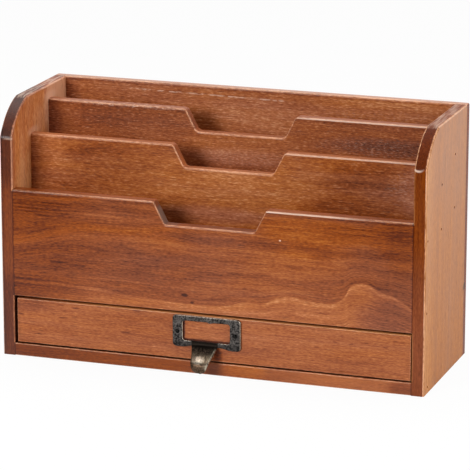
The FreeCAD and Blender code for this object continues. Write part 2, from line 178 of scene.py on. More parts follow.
# %% Ramps, curves and colours
def set_stops(ramp, stops):
    """Give a colour ramp its stops, each a position and a colour."""
    while len(ramp.elements) < len(stops):
        ramp.elements.new(0.5)
    for element, (position, colour) in zip(ramp.elements, stops):
        element.position = position
        element.color = colour


def set_curve(mapping, points):
    """Draw a curve through points from (0, ...) to (1, ...)."""
    curve = mapping.curves[0]
    while len(curve.points) < len(points):
        curve.points.new(0.5, 0.5)
    for point, place in zip(curve.points, points):
        point.location = place
    mapping.update()


def srgb(red, green, blue):
    """A colour read off as 0 to 255, as the linear values that shaders work in."""
    shares = [value / 255 for value in (red, green, blue)]
    return tuple(((s + 0.055) / 1.055) ** 2.4 if s > 0.04045 else s / 12.92 for s in shares) + (1.0,)


print("an 8-bit mid grey is", round(srgb(128, 128, 128)[0], 3), "in linear light")

# %% [markdown]
# ## Stained wood
#
# The boards are a plain light timber under a red-brown stain and a satin varnish. What shows is a
# stack of layers: slow clouds where the stain took unevenly, growth bands that wander along the board,
# fine streaks, and short dark pores. All are made in three dimensions from the board's own
# coordinates, so the grain runs on round every edge. A picture of wood could be wrapped round each
# board instead, but it would smear on the edges. Planed edges are calmer than faces, and where two
# faces meet, the rounded arris is rubbed pale.
#
# Bands and streaks share one `ring` coordinate across the grain. Bending that coordinate bends every
# streak with it, as a real tree would. Two ramps hold the stain's tones from dark to light, one amber
# and one plum, and a slow noise wanders between them.

# %% The stain's tones
amber_tones = [
    (0.0, srgb(50, 14, 2)),
    (0.25, srgb(102, 40, 5)),
    (0.5, srgb(152, 73, 13)),
    (0.75, srgb(190, 109, 40)),
    (1.0, srgb(226, 158, 90)),
]
plum_tones = [
    (0.0, srgb(50, 23, 15)),
    (0.25, srgb(94, 46, 29)),
    (0.5, srgb(141, 76, 47)),
    (0.75, srgb(176, 105, 71)),
    (1.0, srgb(210, 150, 114)),
]
pore_tone = srgb(46, 20, 11)
worn_edge_tone = srgb(240, 182, 142)
bare_tone = srgb(238, 206, 184)
raw_speck_tone = srgb(204, 152, 122)
sun_faded_tone = srgb(156, 104, 20)
print("the stain has", len(amber_tones), "amber and", len(plum_tones), "plum tones")

# %% Helpers for noise
patch_stride = 17.37


def new_finish(name):
    """A new material: itself, and the object's coordinates in millimetres and facing in its tree."""
    material = bpy.data.materials.new(name)
    material.use_nodes = True
    start = Wire(material.node_tree)
    metres = start.node("TexCoord", output="Object")
    place = metres.node("VectorMath", {"operation": "SCALE"}, {0: metres, "Scale": 1 / MM})
    facing = start.node("TexCoord", output="Normal")
    return material, place, facing


def finish_with(material, start, sockets):
    """Feed the surface shader of a material."""
    start.feed(material.node_tree.nodes["Principled BSDF"], sockets)


def soft_noise(vector, detail=2.0):
    """Noise about 0, mostly from -0.3 to 0.3, with lumps of about one unit."""
    return vector.node("TexNoise", {}, {"Vector": vector, "Scale": 1.0, "Detail": detail}) - 0.5


def stretched_noise(parts, lengths, seed, detail=2.0):
    """Noise whose lumps have these lengths along three coordinates, in the patch of its seed."""
    scaled = [part / size for part, size in zip(parts, lengths)]
    scaled[0] = scaled[0] + seed * patch_stride
    vector = scaled[0].node("CombineXYZ", {}, dict(enumerate(scaled)))
    return soft_noise(vector, detail)


# %% A board's edges
def edge_masks(facing, axes):
    """Where a board shows its end grain, its edges, and the rounded arris between two faces."""
    turn = facing.axes()
    along = abs(turn[axes[0]])
    through = abs(turn[axes[2]])
    end_grain = along.step(0.3, 0.95)
    edge = through.step(0.7, 0.2)
    arris = through.step(0.1, 0.4) * through.step(0.98, 0.8)
    return end_grain, edge, arris


# %% What a board's own figure changes, and what it is without one
Figure = namedtuple("Figure", "lift tone warmth bare wear coat", defaults=(0.0, 0.0, 0.0, 0.0, 1.0, 0.0))


# %% The layers of the grain
ring_width, ring_stride = 8.0, 3.7
Layers = namedtuple("Layers", "growth cloud streak fibre hair dash speck hue")


def grain_layers(grain, seed, lift):
    """The layers of a board's grain, bent by slow noises and by the lift of its figure."""
    length, across, through = grain
    wander = 6.0 * stretched_noise(grain, (150.0, 40.0, 40.0), seed)
    waver = 1.4 * stretched_noise(grain, (42.0, 9.0, 9.0), seed + 0.1)
    ring = across + 0.35 * through + wander + waver - lift
    bent = [length, ring, through]
    line = {"W": ring / ring_width + seed * ring_stride, "Scale": 1.0, "Detail": 2.0}
    return Layers(
        growth=ring.node("TexNoise", {"noise_dimensions": "1D"}, line) - 0.5,
        cloud=stretched_noise(grain, (75.0, 26.0, 26.0), seed + 0.2),
        streak=stretched_noise(bent, (64.0, 2.4, 2.4), seed + 0.3),
        fibre=stretched_noise(bent, (34.0, 1.4, 1.4), seed + 0.4),
        hair=stretched_noise(bent, (12.0, 0.9, 0.9), seed + 0.5),
        dash=stretched_noise(bent, (9.0, 1.0, 1.0), seed + 0.6, detail=0.0).step(0.2, 0.32),
        speck=stretched_noise(grain, (3.2, 0.75, 0.75), seed + 0.7),
        hue=stretched_noise(bent, (95.0, 9.0, 9.0), seed + 0.8),
    )


# %% A board's finish
def stained_wood(
    name,
    axes,
    seed,
    tone=0.0,
    warmth=0.5,
    bands=1.0,
    sawn=0.0,
    wear=0.6,
    edge_tone=0.0,
    end_tone=-0.14,
    fade=0.0,
    varnish_index=1.38,
    figure=None,
):
    """Stained, varnished board. The axes run along the grain, across it and through the board.

    The tone lightens or darkens the whole board, warmth goes from plum to amber, bands scales the
    growth bands, sawn adds the pale specks of a rough-sawn face, wear rubs its arrises pale, edge_tone
    and end_tone lighten its edges and end grain, and fade yellows its faces. A higher varnish_index
    mirrors more. A figure is a function of the three places in the board that gives a Figure: how far
    it lifts the bands, what it adds to tone and warmth, where it turns pale, both where the stain is
    off and where highlights, sheen and light are painted on, what stays of the wear, and more varnish.
    """
    material, place, facing = new_finish(name)
    parts = place.axes()
    grain = [parts[axis] for axis in axes]
    drawn = figure(*grain) if figure else Figure()
    growth, cloud, streak, fibre, hair, dash, speck, hue = grain_layers(grain, seed, drawn.lift)
    end_grain, edge, arris = edge_masks(facing, axes)

    drawing = bands * (0.22 * growth + 0.22 * streak) + 0.24 * cloud + 0.3 * fibre + 0.4 * hair
    drawing = (drawing + (0.66 + 0.4 * sawn) * speck) * (1 - 0.45 * edge)
    tone_now = 0.5 + tone + drawing + drawn.tone + edge_tone * edge + end_tone * end_grain
    warmth_now = warmth + 0.9 * hue + drawn.warmth
    plum = place.node("ValToRGB", {"stops": plum_tones}, {0: tone_now})
    amber = place.node("ValToRGB", {"stops": amber_tones}, {0: tone_now})
    colour = warmth_now.tint(plum, amber)
    colour = (fade * (1 - edge)).tint(colour, sun_faded_tone)
    colour = ((0.3 - 0.4 * sawn) * dash).tint(colour, pore_tone)
    colour = (sawn * (speck + 0.5 * hair).step(0.1, 0.3)).tint(colour, raw_speck_tone)
    rubbed = arris * (0.5 + 1.1 * fibre + 0.8 * speck).step(0.1, 0.9)
    colour = (wear * drawn.wear * rubbed).tint(colour, worn_edge_tone)
    # pale where the stain is off, and where a figure paints highlights, sheen and light
    colour = place.node("Mix", {"data_type": "RGBA"}, {0: drawn.bare, 6: colour, 7: bare_tone}, output=2)

    relief = 0.6 * fibre + 0.5 * hair - 0.5 * dash + (0.4 + sawn) * speck
    bump = place.node("Bump", {}, {"Strength": 0.22, "Distance": 0.0003, "Height": relief})
    gloss = 0.33 + 0.2 * cloud + 0.1 * fibre + 0.15 * dash + 0.2 * end_grain
    surface = {"Base Color": colour, "Roughness": gloss, "Normal": bump, "IOR": varnish_index}
    surface.update({"Coat Weight": drawn.coat, "Coat Roughness": 0.3})
    finish_with(material, place, surface)
    return material


# %% [markdown]
# ### The front panel's figure
#
# The front panel is the board one looks at first, and its grain has a clear drawing: a pale line
# creeps along its lower edge, climbs in two steps to a peak near the right end, and the wood under it
# is lighter. Higher up at the left, an orange band rises in a flat arch. Float curves draw those two
# lines, and the grain beside them bends to follow. Soft spots then add the dark heart, streaks, knots
# and the glowing upper right. The top has a painted highlight on its front arris and painted shade
# just under it and on the floor of the thumb notch, and the notch is worn grey.

# %% The two lines of the front panel
def box_mm(node_name):
    """The low and the high corner of a node, in millimetres."""
    return [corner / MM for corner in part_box(node_name)]


panel_low, panel_high = box_mm("front_panel")
case_front = panel_low.y
bay_half_width = panel_high.x
panel_width = panel_high.x - panel_low.x
curve_top = 200.0
pale_line_level = 60.0
pale_line = [
    (-160, 60.7),
    (-97, 60.2),
    (-60, 56.6),
    (-9, 54.0),
    (9, 54.7),
    (28, 59.0),
    (43, 59.6),
    (52, 64.2),
    (63, 66.9),
    (77, 65.6),
    (98, 65.1),
    (107, 70.6),
    (113, 80.2),
    (120, 82.5),
    (127, 81.5),
    (134, 77.6),
    (144, 75.2),
    (160, 66.0),
]
orange_arch_level = 106.0
orange_arch = [
    (-160, 92.5),
    (-141, 98.0),
    (-124, 103.2),
    (-107, 106.3),
    (-63, 107.9),
    (-20, 113.0),
    (160, 116.0),
]


def drawn_line(length, points):
    """Height of a line drawn through points of the front panel, in millimetres."""
    shares = [((x - panel_low.x) / panel_width, z / curve_top) for x, z in points]
    share = (length - panel_low.x) / panel_width
    return length.node("FloatCurve", {"curve": shares}, {"Value": share}) * curve_top


print("the pale line has", len(pale_line), "points over", round(panel_width), "mm")


# %% Soft bands and spots
def between(value, rise, fall):
    """1 between two soft ends: from 0 to 1 over the rise, and back to 0 over the fall."""
    return value.step(rise[0], rise[1]) * value.step(fall[1], fall[0])


def spot(length, across, centre, reach):
    """1 at a centre, fading to 0 at a reach along and across the grain."""
    far = (length - centre[0]) / reach[0]
    high = (across - centre[1]) / reach[1]
    return (far * far + high * high).step(1.0, 0.0)


def spots(length, across, marks):
    """What a list of marks adds to the tone and to the warmth."""
    tone, warmth = 0.0, 0.0
    for centre, reach, more_tone, more_warmth in marks:
        mask = spot(length, across, centre, reach)
        tone = tone + more_tone * mask
        warmth = warmth + more_warmth * mask
    return tone, warmth


# %% Tops and joints of the boards
notch_depth = 17.5
joint_shade = -0.16


def notched_top(across, through, node_name):
    """A notched board's front top arris, and the tone of the painted shade below it and on its notch's
    floor.
    """
    low, high = box_mm(node_name)
    front, top = low.y, high.z
    near = through.step(front + 0.9, front + 0.4)
    arris = across.step(top - 1.5, top - 0.9) * near
    under = between(across, (top - 4.0, top - 2.4), (top - 2.0, top - 1.3)) * near
    floor = abs(across - (top - notch_depth)).step(1.0, 0.4) * through.step(front + 1.0, front + 2.0)
    # painted shade: darker just below the front arris and on the floor of the notch
    return arris, -0.08 * under - 0.15 * floor


def end_joints(length):
    """1 along the joints at both ends of a board that fits between the sides."""
    return abs(length).step(bay_half_width - 0.8, bay_half_width - 0.2)


# %% The marks of the front panel, by place and reach, with what they add to tone and warmth
front_panel_marks = [
    # the dark, warm left end
    ((-165, 95), (95, 70), -0.12, 0.40),
    ((-165, 54), (85, 14), -0.27, 0.1),
    ((-95, 57), (42, 8), -0.08, -0.2),
    ((-140, 132), (55, 6), -0.05, 0.5),
    ((-85, 126), (32, 5), -0.07, 0.0),
    ((-89, 114.6), (60, 4), -0.06, 0.0),
    # the dark heart
    ((-60, 84), (85, 20), -0.03, -0.20),
    ((-52, 83), (26, 8), -0.04, -0.15),
    ((-3, 75.5), (24, 3.4), -0.06, -0.15),
    ((5, 77), (28, 9), -0.03, -0.25),
    ((5, 106), (35, 6), 0.0, -0.3),
    ((-4, 113.5), (30, 4), -0.06, 0.0),
    # paler wood round it
    ((-38, 98), (32, 10), 0.10, 0.2),
    ((38, 72), (60, 9), 0.07, 0.0),
    ((35, 86), (30, 5), 0.05, 0.0),
    ((66, 91), (56, 14), 0.12, 0.25),
    ((80, 75), (22, 5), 0.06, 0.0),
    # the glowing upper right
    ((86, 119), (62, 15), 0.05, 0.70),
    ((85, 104), (42, 8), 0.0, 0.4),
    ((150, 122), (30, 18), -0.03, 0.45),
    ((148, 120), (32, 20), -0.04, 0.3),
    ((152, 110), (18, 26), -0.09, 0.35),
    # the dark lower right
    ((124, 101), (22, 9), -0.08, 0.0),
    ((146, 77), (26, 12), -0.12, -0.3),
    ((144, 58), (34, 18), -0.21, -0.45),
    # two knots
    ((-19.4, 61.5), (3.4, 1.8), -0.42, 0.0),
    ((-13.5, 56.3), (2.0, 1.2), -0.30, 0.0),
    # dark dashes
    ((-123, 78.2), (10, 1.3), -0.18, 0.0),
    ((-108, 77.2), (11, 1.3), -0.18, 0.0),
    ((22, 82.2), (10, 1.4), -0.16, 0.0),
    ((41, 82.8), (12, 1.3), -0.18, 0.0),
    ((68, 91), (10, 3.2), -0.10, 0.0),
    ((89, 100), (12, 3.6), -0.12, 0.0),
    ((90, 57.3), (9, 1.2), -0.12, 0.0),
]
print("the front panel has", len(front_panel_marks), "marks")

# %% All that is drawn on the front panel
pale_peak, pale_peak_reach = (120, 84), (22, 12)
striped_place, striped_reach, stripe_waves = (-110, 119), (85, 11), 2.4
bare_speck, bare_speck_reach = (56.7, 111), (1.1, 0.75)
notch_slope_middle = -34.0


def front_panel_figure(length, across, through):
    """The front panel's two lines, its marks, its top with a painted highlight and painted shade, and the
    grey left slope of its notch.
    """
    above = across - drawn_line(length, pale_line)
    over_arch = across - drawn_line(length, orange_arch)
    lift = 0.4 * (across - above - pale_line_level) * above.step(30.0, 0.0)
    bowed = abs(over_arch).step(22.0, 6.0) * length.step(0.0, -70.0)
    lift = lift + 0.8 * (across - over_arch - orange_arch_level) * bowed

    crest = between(above, (-3.5, 0.0), (0.2, 1.6)) * (0.4 + 0.6 * length.step(-90.0, -20.0))
    foot = above.step(1.0, -0.6)
    brow = between(above, (1.0, 2.2), (2.6, 4.6)) * spot(length, across, pale_peak, pale_peak_reach)
    arch = between(over_arch, (-5.0, 0.0), (0.5, 6.0)) * length.step(40.0, -60.0)
    stripes = (stripe_waves * across).sine() * spot(length, across, striped_place, striped_reach)
    tone, warmth = spots(length, across, front_panel_marks)
    tone = tone + 0.15 * crest + 0.16 * foot - 0.12 * brow + 0.11 * arch + 0.05 * stripes

    arris, top_tone = notched_top(across, through, "front_panel")
    # painted highlight on the front arris, right of the notch
    painted_highlight = arris * between(length, (22.0, 45.0), (90.0, 130.0))
    notch_floor = panel_high.z - notch_depth
    slope = abs(length - notch_slope_middle).step(9.0, 7.0)
    slope = slope * across.step(notch_floor - 1.0, notch_floor + 1.0)
    slope = slope * through.step(case_front + 0.6, case_front + 1.4)
    speck = spot(length, across, bare_speck, bare_speck_reach)
    tone = tone + joint_shade * end_joints(length) + top_tone - 0.2 * slope
    warmth = warmth + 0.3 * arch - 0.8 * slope
    return Figure(lift, tone, warmth, speck + 0.7 * painted_highlight + 0.1 * slope)


# %% [markdown]
# ### Marks on the other boards
#
# The other boards are plainer, but none is even. The stain pooled along the front edges of the sides
# and turned them dark, orange high up on the right one. The dividers and the back are lighter in the
# middle and darker at the right, and a tool left one pale scratch along the back. Some light and shade
# is painted on too: highlights on the top arrises, sheen, shade below the tops, in the drawer's bay
# and along the rim of the label window, where dirt has also settled, and light and shadow at the left
# ends. All this could be painted on by hand, but a few spots and soft steps for each board stay sharp
# and are easy to move.

# %% Marks on the dividers
middle_divider_marks = [
    # paler in the middle
    ((0, 136), (80, 34), 0.17, 0.0),
    ((72, 146), (26, 15), 0.10, 0.0),
    ((40, 158), (22, 14), 0.05, 0.3),
    # a lighter left end: painted light, thinning the shadow of the left side
    ((-148, 150), (26, 30), 0.10, -0.1),
    ((-130, 144), (18, 11), 0.06, 0.0),
    # paler at the right end
    ((156, 146), (22, 30), 0.12, -0.7),
    ((137, 156), (12, 12), 0.08, 0.0),
    # darker streaks
    ((-120, 156), (16, 7), -0.08, 0.0),
    ((-100, 160), (24, 7), -0.11, 0.0),
    ((-28, 150), (18, 6), -0.07, 0.0),
    ((108, 149), (46, 5), -0.10, 0.0),
    ((116, 161), (36, 7), -0.12, 0.0),
    ((110, 128), (60, 12), -0.08, 0.1),
    ((-160, 148), (9, 26), -0.08, -0.2),
    ((-10, 125), (65, 7), -0.10, -0.05),
    # amber along the top, plum at the right and low in the middle
    ((-95, 162), (70, 7), 0.0, 0.25),
    ((95, 162), (50, 8), 0.06, 0.35),
    ((140, 142), (40, 18), -0.03, -0.35),
    ((-10, 116), (60, 9), -0.05, -0.55),
]
rear_divider_marks = [
    # paler in the middle
    ((2, 166), (64, 16), 0.17, 0.05),
    ((2, 154), (64, 9), 0.12, -0.5),
    ((-70, 170), (24, 9), 0.07, 0.0),
    # a lighter left end: painted light, thinning the shadow of the left side
    ((-152, 178), (24, 22), 0.12, -0.1),
    # darker at the right, and at the left along the top and the joint
    ((125, 170), (75, 9), -0.15, -0.55),
    ((110, 181), (45, 6), -0.03, 0.0),
    ((-100, 176), (60, 9), -0.04, -0.10),
    ((-104, 184), (50, 4), -0.08, 0.0),
    ((-160, 170), (14, 24), -0.12, -0.4),
]
print("the dividers have", len(middle_divider_marks), "and", len(rear_divider_marks), "marks")


# %% All that is drawn on the dividers
def dust_and_sheen_specks(length, across, through, seed):
    """Fine pale specks in the grain, from 0 to 1: grime on some boards, painted sheen on others."""
    return stretched_noise([length, across, through], (2.6, 0.75, 0.75), seed).step(-0.02, 0.24)


def middle_divider_figure(length, across, through):
    """The middle divider's marks, painted sheen in pale specks on its right end, and a painted highlight on
    its top arris.
    """
    # painted sheen: pale specks on the right end
    dust_and_sheen = dust_and_sheen_specks(length, across, through, 34) * spot(length, across, (154, 148), (34, 22))
    tone, warmth = spots(length, across, middle_divider_marks)
    arris, top_tone = notched_top(across, through, "middle_divider")
    # painted highlight on the top arris towards the right
    painted_highlight = arris * length.step(30.0, 60.0)
    return Figure(tone=tone + top_tone, warmth=warmth, bare=0.3 * dust_and_sheen + 0.4 * painted_highlight)


def rear_divider_figure(length, across, through):
    """The rear divider's marks, splinters along its top at the left, pale specks of grime and painted sheen,
    and a painted highlight on its top arris.
    """
    tone, warmth = spots(length, across, rear_divider_marks)
    splinters = stretched_noise([length, across, through], (3.0, 1.2, 1.2), 31).step(0.02, 0.2)
    splinters = splinters * spot(length, across, (-92, 188.5), (60, 2.6))
    # pale specks of grime and painted sheen, at the right and low in the middle
    dust_and_sheen_places = spot(length, across, (120, 169), (75, 10)) + spot(length, across, (4, 153), (48, 7))
    dust_and_sheen = dust_and_sheen_specks(length, across, through, 35) * dust_and_sheen_places
    arris, top_tone = notched_top(across, through, "rear_divider")
    # painted highlight on the top arris towards the right
    painted_highlight = arris * length.step(30.0, 60.0)
    bare = 0.5 * splinters + 0.24 * dust_and_sheen + 0.55 * painted_highlight
    return Figure(tone=tone + top_tone, warmth=warmth, bare=bare)


# %% Marks on the back and the base
back_low, back_high = box_mm("back_panel")
case_top = back_high.z
back_panel_marks = [
    # paler in the middle and along the top
    ((4, 182), (70, 18), 0.10, -0.25),
    ((-100, 190), (70, 12), 0.02, -0.25),
    ((100, 188), (80, 6), 0.05, -0.1),
    ((110, 197), (80, 6), 0.16, 0.0),
    # painted shadow of the left side on the left end, and a black nick low on the right end
    ((-160, 190), (15, 30), -0.12, -0.3),
    ((170, 56), (4, 3.4), -0.9, 0.0),
]
scratch_left, scratch_right, scratch_fade = -103.0, 24.0, 4.0
scratch_height, scratch_slope = 193.7, -0.0125
base_panel_marks = [
    ((-90, 6), (100, 14), -0.03, 0.75),
    # painted light right of the pull, thinning the pull's shadow
    ((28, 6), (24, 9), 0.13, 0.35),
    # a dark right end
    ((154, 4), (16, 9), -0.22, 0.0),
]


def back_panel_figure(length, across, through):
    """The back's marks and scratch on its inner face, painted shade below its top edge, and painted sheen
    along that edge.
    """
    tone, warmth = spots(length, across, back_panel_marks)
    off_line = across - scratch_height - (length - scratch_left) * scratch_slope
    start = (scratch_left - scratch_fade, scratch_left)
    end = (scratch_right - scratch_fade, scratch_right)
    broken = stretched_noise([length, across, through], (5.0, 2.0, 2.0), 30).step(-0.1, 0.1)
    scratch = abs(off_line).step(0.75, 0.25) * between(length, start, end) * broken
    # painted sheen along the top edge
    top_edge = across.step(case_top - 0.8, case_top - 0.2)
    dust_and_sheen = dust_and_sheen_specks(length, across, through, 36) * spot(length, across, (110, 185), (75, 6))
    inside = through.step(back_low.y + 3.0, back_low.y + 1.0)
    # painted shade just below the top edge
    under_edge = across.step(case_top - 3.2, case_top - 2.4) * inside
    bare = inside * (0.55 * scratch + 0.15 * dust_and_sheen) + 0.18 * top_edge
    return Figure(tone=inside * tone - 0.12 * under_edge, warmth=warmth, bare=bare)


def base_panel_figure(length, across, through):
    """The base's front edge, lighter to the right, and painted shade on the floor of the drawer's bay behind
    it.
    """
    tone, warmth = spots(length, through, base_panel_marks)
    tone = tone + 0.22 * length.step(0.0, 110.0) - 0.1 * length.step(-60.0, -160.0)
    # painted shade: the floor of the drawer's bay is darkened
    bay = across.step(case_front + 0.8, case_front + 1.6)
    return Figure(tone=tone + joint_shade * end_joints(length) - 0.5 * bay, warmth=warmth)


print("the scratch is", round(scratch_right - scratch_left), "mm long")

# %% Marks on the drawer's front
drawer_low, drawer_high = box_mm("drawer_front")
window_middle, window_width = -1.6 * MM, 38.0 * MM
window_bottom, window_top = 26.4 * MM, 42.0 * MM
drawer_front_marks = [
    # light and dark shades, and a warm shadow beside the pull
    ((100, 28), (90, 30), 0.03, 0.0),
    ((34, 33), (18, 13), 0.05, 0.0),
    ((-2, 34), (22, 10), 0.07, 0.0),
    ((-150, 43), (26, 9), -0.10, 0.0),
    ((7, 16), (5.0, 8), -0.34, 0.9),
    # dark dashes at the left
    ((-155.8, 34.2), (4.5, 0.9), -0.3, 0.0),
    ((-121.6, 44.0), (4.5, 0.8), -0.3, 0.0),
    ((-108.7, 42.8), (5.0, 0.8), -0.3, 0.0),
    ((-119.2, 34.2), (5.0, 0.9), -0.28, 0.0),
    ((-58.5, 45.2), (4.5, 0.7), -0.25, 0.0),
    ((-67.8, 27.1), (5.0, 0.9), -0.28, 0.0),
    ((-139.6, 19.2), (5.0, 0.9), -0.28, 0.0),
    # shorter ones at the right
    ((86, 30.6), (2.6, 0.9), -0.22, 0.0),
    ((93, 29.8), (2.2, 0.8), -0.18, 0.0),
    ((100.5, 36), (2.6, 0.8), -0.18, 0.0),
    ((113, 35.7), (2.4, 0.9), -0.24, 0.0),
    ((125, 37.4), (2.4, 0.8), -0.2, 0.0),
    ((140, 35.5), (2.6, 0.9), -0.24, 0.0),
]


def drawer_front_figure(length, across, through):
    """The drawer's marks, grime and painted shade along the left and lower rim of the label window, and
    painted light on the front of its top.
    """
    tone, warmth = spots(length, across, drawer_front_marks)
    left = (window_middle - window_width / 2) / MM
    right = (window_middle + window_width / 2) / MM
    low, high = window_bottom / MM, window_top / MM
    # grime and painted shade inside the window's left and lower rims, where the frame's walls shade the wood
    beside = between(length, (left - 0.9, left - 0.2), (left + 1.0, left + 1.8))
    beside = beside * between(across, (low - 0.9, low + 0.1), (high - 0.5, high + 0.5))
    under = between(across, (low - 0.9, low - 0.2), (low + 0.8, low + 1.6))
    under = under * between(length, (left - 0.9, left - 0.2), (right - 0.4, right + 0.6))
    dirt_and_shade = beside.most(under)
    # painted light on the front of the top, where the key light grazes it
    ledge = across.step(drawer_high.z - 0.4, drawer_high.z - 0.1) * length.step(-150.0, -80.0)
    ledge = ledge * through.step(drawer_low.y + 4.0, drawer_low.y + 2.5)
    return Figure(tone=tone - 0.42 * dirt_and_shade + 0.4 * ledge, warmth=warmth + 0.4 * ledge)


print("the drawer's front has", len(drawer_front_marks), "marks")

# %% The front edge of a side
case_half_width = box_mm("right_side_panel")[1].x
crease_height, crease_middle = 172.6, 6.4
arc_centre, arc_radius = (-12.4, 148.0), 54.0


def outer_depth(through):
    """How far a place in a side is from the side's outer face."""
    return case_half_width - abs(through)


def inner_depth(through):
    """How far a place in a side is from the side's inner face."""
    return abs(through) - bay_half_width


def side_front(length, across, through, crease_bend):
    """The front of a side: its straight edge, the crease above that, the curve, and the level top."""
    from_outside = outer_depth(through)
    sideways = from_outside - crease_middle
    over_crease = length - crease_height - crease_bend * sideways * sideways
    forward = across.step(case_front + 4.0, case_front + 1.5)
    straight = across.step(case_front + 2.5, case_front + 0.5) * over_crease.step(1.0, -1.0)
    crease = abs(over_crease).step(1.2, 0.2) * forward * from_outside.step(1.5, 7.0)
    back, up = across - arc_centre[0], length - arc_centre[1]
    rim = (back * back + up * up).step((arc_radius - 2.0) ** 2, (arc_radius - 0.8) ** 2)
    curve = over_crease.step(-1.0, 1.0) * rim * across.step(-20.0, -30.0)
    level_top = length.step(case_top - 1.7, case_top - 0.4)
    return straight, crease, curve, level_top


def panel_joint(length, across, through):
    """1 along the joint of a side with the base and the front panel."""
    below_top = length.step(panel_high.z - 0.5, panel_high.z - 2.0)
    near_bay = inner_depth(through).step(0.9, 0.2)
    return across.step(case_front + 1.0, case_front + 0.4) * below_top * near_bay


# %% Marks on the sides
left_side_marks = [
    # a pale inner face
    ((185, 30), (40, 30), 0.31, -0.85),
    ((136, -36), (24, 22), 0.14, 0.0),
    ((176, -5), (18, 16), 0.10, -0.2),
    # dark places on the front edge
    ((30, -60), (45, 6), -0.15, 0.0),
    ((160, -60), (32, 8), -0.14, -0.2),
]
right_side_marks = [
    # a black nick at the joint with the back
    ((56, 51.6), (3.4, 2.2), -0.9, 0.0),
]


def left_side_figure(length, across, through):
    """The left side's pale inner face with two patches of painted light, its dark front edge and curve,
    painted shade in the bay, and painted highlights and sheen on its crease, arris and top.
    """
    tone, warmth = spots(length, across, left_side_marks)
    straight, crease, curve, level_top = side_front(length, across, through, -0.01)
    from_outside, from_inside = outer_depth(through), inner_depth(through)
    # painted light: two pale patches on the inner face, where light falls past the divider tops
    patches = spot(length, across, (191, 20), (5, 14)) + spot(length, across, (170, -16), (5, 14))
    streaks = stretched_noise([length, across, through], (4.0, 18.0, 1.4), 32).step(-0.1, 0.15)
    outer = from_outside.step(3.5, 1.0) * across.step(case_front + 6.0, case_front + 2.0)
    # painted shade on the inner wall of the drawer's bay, deep in the gap
    bay = from_inside.step(0.8, 0.2) * across.step(case_front + 0.4, case_front + 1.2)
    bay = bay * length.step(panel_low.z, panel_low.z - 1.0)
    inside = from_outside.step(0.2, 1.0)
    tone = inside * tone - 0.02 * straight - 0.16 * outer - 0.15 * curve - 0.6 * bay
    tone = tone + joint_shade * panel_joint(length, across, through)
    warmth = inside * warmth + 0.1 * straight - 0.4 * curve - level_top
    # painted highlight down the inner arris above the front panel
    inner_arris = from_inside.step(1.2, 0.4) * across.step(case_front + 2.0, case_front + 1.0)
    inner_arris = inner_arris * length.step(panel_high.z - 1.0, panel_high.z + 1.0)
    inner = from_inside.step(1.0, 0.2)
    # painted highlight on the crease, painted sheen in streaks on the level top, and the painted light
    # patches
    bare = 0.32 * crease + 0.2 * patches * inner + 0.46 * level_top * streaks + 0.14 * inner_arris
    return Figure(tone=tone, warmth=warmth, bare=bare)


def right_side_figure(length, across, through):
    """The right side's glossy outer face, its front edge, which is orange high up, and a painted highlight
    on its crease and painted sheen on its top.
    """
    tone, warmth = spots(length, across, right_side_marks)
    straight, crease, curve, level_top = side_front(length, across, through, 0.1)
    from_outside, from_inside = outer_depth(through), inner_depth(through)
    high, low = length.step(75.0, 125.0), length.step(80.0, 30.0)
    outside = from_outside.step(1.0, 0.2)
    streaks = stretched_noise([length, across, through], (4.0, 18.0, 1.4), 33).step(-0.2, 0.2)
    tone = tone + straight * (0.03 * low - 0.05 * high) + 0.16 * level_top
    tone = tone - curve * (0.06 + 0.08 * length.step(188.0, 174.0))
    tone = tone + 0.16 * outside * across.step(-28.0, -58.0)
    tone = tone + joint_shade * panel_joint(length, across, through)
    warmth = warmth + straight * (0.8 * high - 0.3 * low - 0.75) - 0.15 * curve - level_top
    # painted highlight on the crease, and painted sheen in streaks on the level top
    bare = 0.85 * crease + 0.36 * level_top * streaks
    inner_arris = from_inside.step(3.0, 2.0) * length.step(172.0, 170.0)
    coat = 0.5 * outside * length.step(-20.0, 240.0)
    return Figure(tone=tone, warmth=warmth, bare=bare, wear=1 - 0.8 * inner_arris, coat=coat)


print("the sides turn over in an arc of", arc_radius, "mm")

# %% [markdown]
# ### A finish for each board
#
# No two boards came from the same plank. One material could serve them all, but then they would match
# too well, so each gets its own seed, tone and warmth, and a loop makes the finishes. The dividers and
# the back are rougher sawn and show pale specks, the sides have upright grain and darker edges, and
# the drawer is a shade lighter than the case. The right side is yellower, as if faded by the sun, and
# duller below than above, where its varnish is thicker.

